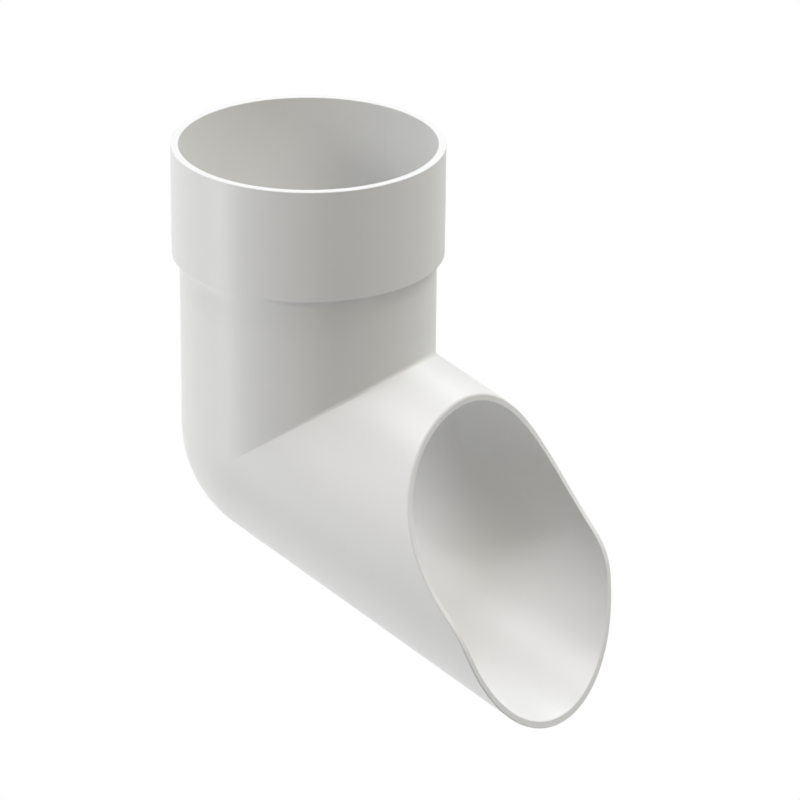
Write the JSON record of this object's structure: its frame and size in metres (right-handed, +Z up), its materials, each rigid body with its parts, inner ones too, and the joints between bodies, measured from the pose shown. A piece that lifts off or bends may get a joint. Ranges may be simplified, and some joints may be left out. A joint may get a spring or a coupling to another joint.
{
  "type": "downpipe shoe",
  "caption": "Hollow moulded elbow with a pipe socket at the top, a rounded heel and a sloping spout cut to an S-shaped lip, which throws rainwater clear of the wall.",
  "frame": {"origin": "centre of the ring-shaped seat inside the socket on which the end of the downpipe stands, on the axis of the socket", "axes": "+Z up the socket and the downpipe, as the shoe hangs on the wall; the spout leaves towards -Y and falls as it goes; X = 0 is the plane of symmetry"},
  "size_m": [0.0852, 0.144, 0.1691],
  "materials": {
    "white_pvc": "satin, as moulded"
  },
  "bodies": {
    "root": {"downpipe_shoe": "white_pvc"}
  },
  "joints": []
}
